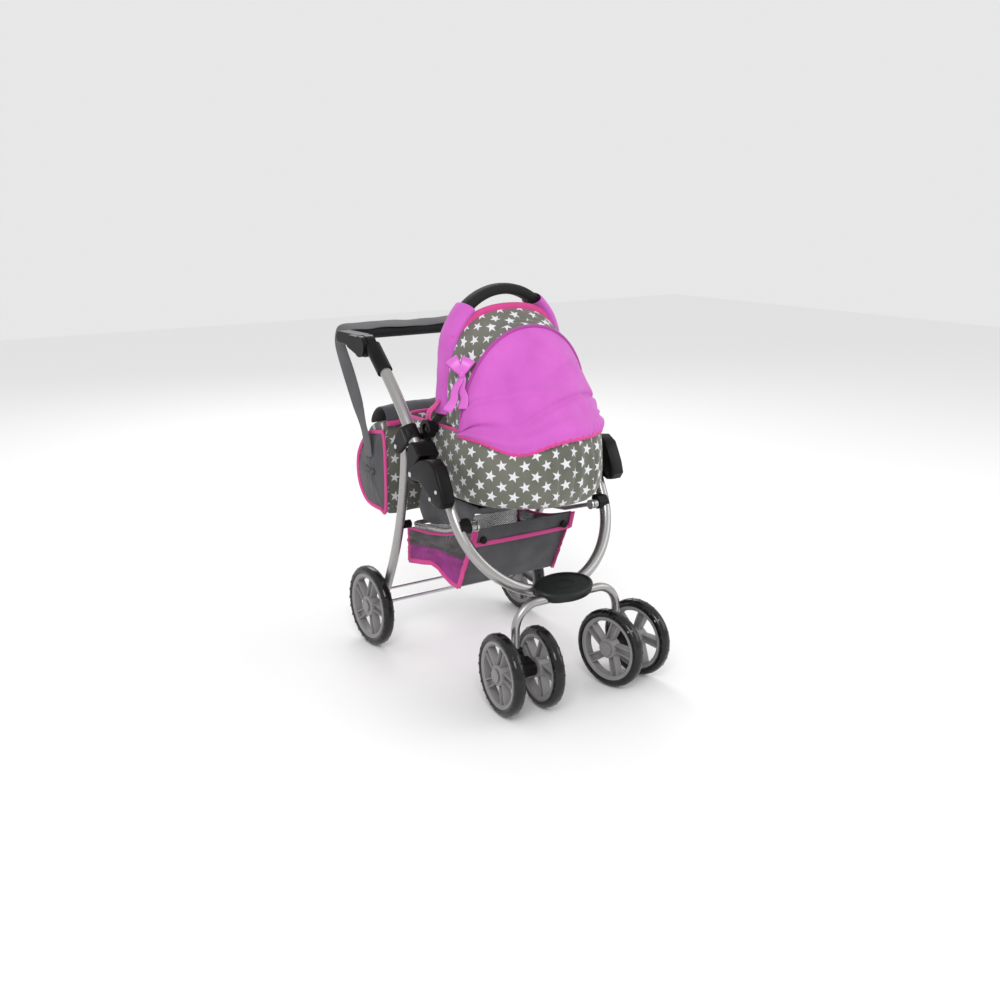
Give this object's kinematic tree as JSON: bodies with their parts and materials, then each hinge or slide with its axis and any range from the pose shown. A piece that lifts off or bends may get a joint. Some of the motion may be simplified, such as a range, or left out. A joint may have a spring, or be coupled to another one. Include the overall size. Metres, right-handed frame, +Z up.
{
  "type": "doll stroller",
  "caption": "Folding toy stroller with twin swivelling front casters, fixed rear wheels, mesh basket, rear bag, and a lift-off hooded cot with a carry handle.",
  "frame": {"origin": "bottom centre of the whole stroller, on the ground", "axes": "-Y is the way it faces, +X its left side, +Z up"},
  "size_m": [0.43, 0.6283, 0.7365],
  "materials": {
    "silver_tube": "satin silver paint",
    "zinc_steel": "zinc plated",
    "black_plastic": "semi-matte moulded",
    "grey_rim": "satin moulded",
    "black_tyre": "glossy moulded",
    "black_foam": "closed-cell foam",
    "dark_grey_cloth": "woven polyester",
    "grey_webbing": "woven polyester",
    "star_cloth": "star-print polyester",
    "orchid_cloth": "woven polyester",
    "hot_pink_tape": "binding tape",
    "magenta_mesh": "open mesh",
    "grey_mesh": "open mesh",
    "white_lining": "plain lining",
    "satin_ribbon": "satin ribbon"
  },
  "bodies": {
    "front_frame": {"u_tube": "silver_tube", "front_arch_tube": "silver_tube", "oval_foot_plate": "black_plastic", "hinge_shell_right": "black_plastic", "hinge_shell_left": "black_plastic", "front_brackets": "black_plastic", "bracket_bolts": "zinc_steel", "seat_sling": "dark_grey_cloth"},
    "upper_frame": {"upper_tube_right": "silver_tube", "upper_tube_left": "silver_tube", "hinge_cap_right": "black_plastic", "hinge_cap_left": "black_plastic", "fold_pivots": "zinc_steel", "leg_clamps": "black_plastic", "leg_pivots": "zinc_steel", "handle_sockets": "black_plastic"},
    "handle": {"handle_bar": "silver_tube", "handle_grip": "black_foam", "handle_knuckles": "black_plastic"},
    "bag": {"bag_body": "star_cloth", "bag_strap": "grey_webbing"},
    "rear_legs": {"rear_leg_right": "silver_tube", "rear_leg_left": "silver_tube", "rear_axle": "zinc_steel", "brace_rod": "zinc_steel", "leg_plugs": "black_plastic"},
    "basket": {"basket_hoop": "silver_tube", "basket_shell": "dark_grey_cloth", "basket_snaps": "black_plastic"},
    "cot": {"cot_shell": "star_cloth", "mattress": "white_lining", "cot_hubs": "black_plastic", "hood_drape": "orchid_cloth"},
    "hood": {"hood_bow": "zinc_steel", "hood_canopy": "star_cloth"},
    "carry_handle": {"carry_handle": "black_plastic", "handle_sleeves": "orchid_cloth"},
    "caster_right": {"caster_hub_right": "black_plastic", "caster_axle_right": "zinc_steel"},
    "wheel_front_right_outer": {"tyre_front_right_outer": "black_tyre", "rim_front_right_outer": "grey_rim", "hub_cap_front_right_outer": "grey_rim"},
    "wheel_front_right_inner": {"tyre_front_right_inner": "black_tyre", "rim_front_right_inner": "grey_rim", "hub_cap_front_right_inner": "grey_rim"},
    "wheel_rear_right": {"tyre_rear_right": "black_tyre", "rim_rear_right": "grey_rim", "hub_cap_rear_right": "grey_rim"},
    "caster_left": {"caster_hub_left": "black_plastic", "caster_axle_left": "zinc_steel"},
    "wheel_front_left_outer": {"tyre_front_left_outer": "black_tyre", "rim_front_left_outer": "grey_rim", "hub_cap_front_left_outer": "grey_rim"},
    "wheel_front_left_inner": {"tyre_front_left_inner": "black_tyre", "rim_front_left_inner": "grey_rim", "hub_cap_front_left_inner": "grey_rim"},
    "wheel_rear_left": {"tyre_rear_left": "black_tyre", "rim_rear_left": "grey_rim", "hub_cap_rear_left": "grey_rim"}
  },
  "joints": [
    {"name": "caster_swivel_right", "type": "hinge", "parent": "front_frame", "child": "caster_right", "pos_m": [-0.116, -0.212, 0.1], "axis": [0, 0, 1], "continuous": true},
    {"name": "wheel_spin_front_right_outer", "type": "hinge", "parent": "caster_right", "child": "wheel_front_right_outer", "pos_m": [-0.1579, -0.22944, 0.075], "axis": [0.9938, -0.1115, 0], "continuous": true},
    {"name": "wheel_spin_front_right_inner", "type": "hinge", "parent": "caster_right", "child": "wheel_front_right_inner", "pos_m": [-0.079, -0.23829, 0.075], "axis": [0.9938, -0.1115, 0], "continuous": true},
    {"name": "wheel_spin_rear_right", "type": "hinge", "parent": "rear_legs", "child": "wheel_rear_right", "pos_m": [-0.187, 0.201, 0.0825], "axis": [1, 0, 0], "continuous": true},
    {"name": "caster_swivel_left", "type": "hinge", "parent": "front_frame", "child": "caster_left", "pos_m": [0.116, -0.212, 0.1], "axis": [0, 0, 1], "continuous": true},
    {"name": "wheel_spin_front_left_outer", "type": "hinge", "parent": "caster_left", "child": "wheel_front_left_outer", "pos_m": [0.15903, -0.22643, 0.075], "axis": [0.9834, 0.1814, 0], "continuous": true},
    {"name": "wheel_spin_front_left_inner", "type": "hinge", "parent": "caster_left", "child": "wheel_front_left_inner", "pos_m": [0.08095, -0.24084, 0.075], "axis": [0.9834, 0.1814, 0], "continuous": true},
    {"name": "wheel_spin_rear_left", "type": "hinge", "parent": "rear_legs", "child": "wheel_rear_left", "pos_m": [0.187, 0.201, 0.0825], "axis": [1, 0, 0], "continuous": true},
    {"name": "frame_fold", "type": "hinge", "parent": "front_frame", "child": "upper_frame", "pos_m": [0, -0.009, 0.403], "axis": [-1, 0, 0], "range_deg": [0, 80]},
    {"name": "leg_fold", "type": "hinge", "parent": "upper_frame", "child": "rear_legs", "pos_m": [0, 0.042, 0.446], "axis": [-1, 0, 0], "range_deg": [-65, 0.5]},
    {"name": "basket_fold", "type": "hinge", "parent": "front_frame", "child": "basket", "pos_m": [0, -0.111, 0.316], "axis": [-1, 0, 0], "range_deg": [-0.5, 29.4]},
    {"name": "handle_tilt", "type": "hinge", "parent": "upper_frame", "child": "handle", "pos_m": [0, 0.166, 0.618], "axis": [1, 0, 0], "range_deg": [0, 60]},
    {"name": "bag_swing", "type": "hinge", "parent": "handle", "child": "bag", "pos_m": [0, 0.298, 0.626], "axis": [-1, 0, 0], "range_deg": [-81, 0.5]},
    {"name": "cot_lift", "type": "slide", "parent": "front_frame", "child": "cot", "axis": [0, 0, 1], "range_m": [0, 0.2]},
    {"name": "hood_fold", "type": "hinge", "parent": "cot", "child": "hood", "pos_m": [0, 0.008, 0.479], "axis": [1, 0, 0], "range_deg": [0, 20], "deforming": ["hood_drape"]},
    {"name": "carry_handle_fold", "type": "hinge", "parent": "hood", "child": "carry_handle", "pos_m": [0, 0.008, 0.479], "axis": [1, 0, 0], "range_deg": [-0.5, 4.5], "deforming": ["hood_canopy"]}
  ],
  "couplings": [
    {"joint": "leg_fold", "follows": "frame_fold", "ratio": -0.8},
    {"joint": "basket_fold", "follows": "frame_fold", "ratio": 0.355},
    {"joint": "bag_swing", "follows": "frame_fold", "ratio": -1},
    {"joint": "carry_handle_fold", "follows": "hood_fold", "ratio": 0.2}
  ]
}
